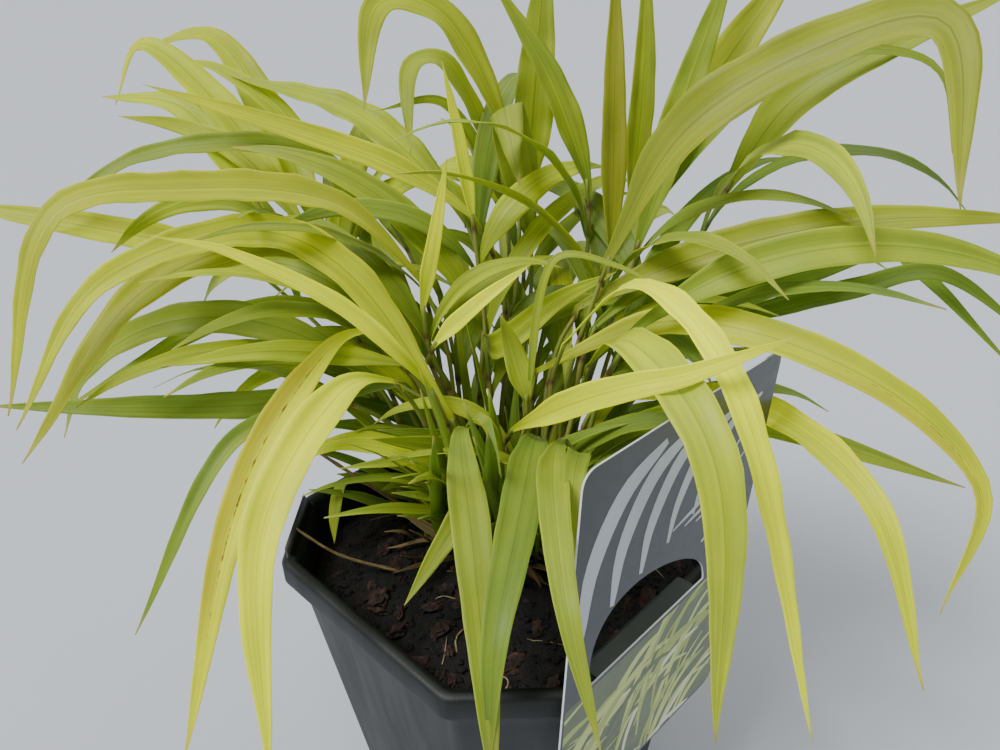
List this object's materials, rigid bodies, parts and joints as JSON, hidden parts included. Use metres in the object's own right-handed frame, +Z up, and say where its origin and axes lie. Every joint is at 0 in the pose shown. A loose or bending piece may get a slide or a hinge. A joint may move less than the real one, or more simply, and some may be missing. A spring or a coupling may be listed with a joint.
{
  "type": "potted japanese forest grass",
  "caption": "Golden Hakone grass, a fountain of arching strap leaves on thin culms, growing in a square dark grey nursery pot with a hooked plant label.",
  "frame": {"origin": "middle of the pot's flat base, on the surface that it stands on", "axes": "+Z up, -Y towards the pot corner and the leaves that face the viewer, +X to the viewer's right"},
  "size_m": [0.435, 0.3316, 0.35],
  "materials": {
    "pot_plastic": "moulded dark grey nursery plastic, slightly satin",
    "potting_soil": "moist near-black peat compost with bark chips",
    "label_card": "thin glossy slate-grey printed plastic card",
    "grass_leaf": "living leaf, yellow-green with a soft sheen"
  },
  "bodies": {
    "root": {"plant_label": "label_card", "pot": "pot_plastic", "soil": "potting_soil", "stem_back_01": "grass_leaf", "stem_back_03": "grass_leaf", "stem_back_04": "grass_leaf", "stem_back_05": "grass_leaf", "stem_back_07": "grass_leaf", "stem_back_08": "grass_leaf", "stem_back_09": "grass_leaf", "stem_back_10": "grass_leaf", "stem_back_11": "grass_leaf", "stem_back_left_fifth": "grass_leaf", "stem_back_left_fourth": "grass_leaf", "stem_back_left_high": "grass_leaf", "stem_back_left_second": "grass_leaf", "stem_back_left_third": "grass_leaf", "stem_centre_bright": "grass_leaf", "stem_centre_short": "grass_leaf", "stem_front_left_inner": "grass_leaf", "stem_front_left_outer": "grass_leaf", "stem_front_middle_dark": "grass_leaf", "stem_front_middle_light": "grass_leaf", "stem_front_middle_right": "grass_leaf", "stem_front_short_left": "grass_leaf", "stem_left_big_arch": "grass_leaf", "stem_left_big_level": "grass_leaf", "stem_left_bright_streak": "grass_leaf", "stem_left_bright_tip": "grass_leaf", "stem_left_broad_olive": "grass_leaf", "stem_left_edge": "grass_leaf", "stem_left_high_green": "grass_leaf", "stem_left_level": "grass_leaf", "stem_left_low_arch": "grass_leaf", "stem_left_low_drop": "grass_leaf", "stem_left_low_level": "grass_leaf", "stem_left_thin_arch": "grass_leaf", "stem_right_arch_green": "grass_leaf", "stem_right_arch_low": "grass_leaf", "stem_right_bent_olive": "grass_leaf", "stem_right_bright_drop": "grass_leaf", "stem_right_brown_tip": "grass_leaf", "stem_right_dark_green": "grass_leaf", "stem_right_heavy_drop": "grass_leaf", "stem_right_level_bright": "grass_leaf", "stem_right_level_olive": "grass_leaf", "stem_right_low_green": "grass_leaf", "stem_top_arch_left": "grass_leaf", "stem_top_arch_small": "grass_leaf", "stem_upper_right_big": "grass_leaf", "stem_upper_right_orange": "grass_leaf", "stem_upper_right_second": "grass_leaf", "stem_upright_broad": "grass_leaf", "stem_upright_folded": "grass_leaf", "stem_upright_green": "grass_leaf", "stem_upright_left_lean": "grass_leaf", "stem_upright_needle": "grass_leaf", "stem_upright_orange": "grass_leaf", "stem_upright_pale": "grass_leaf", "stem_upright_point": "grass_leaf"}
  },
  "joints": []
}
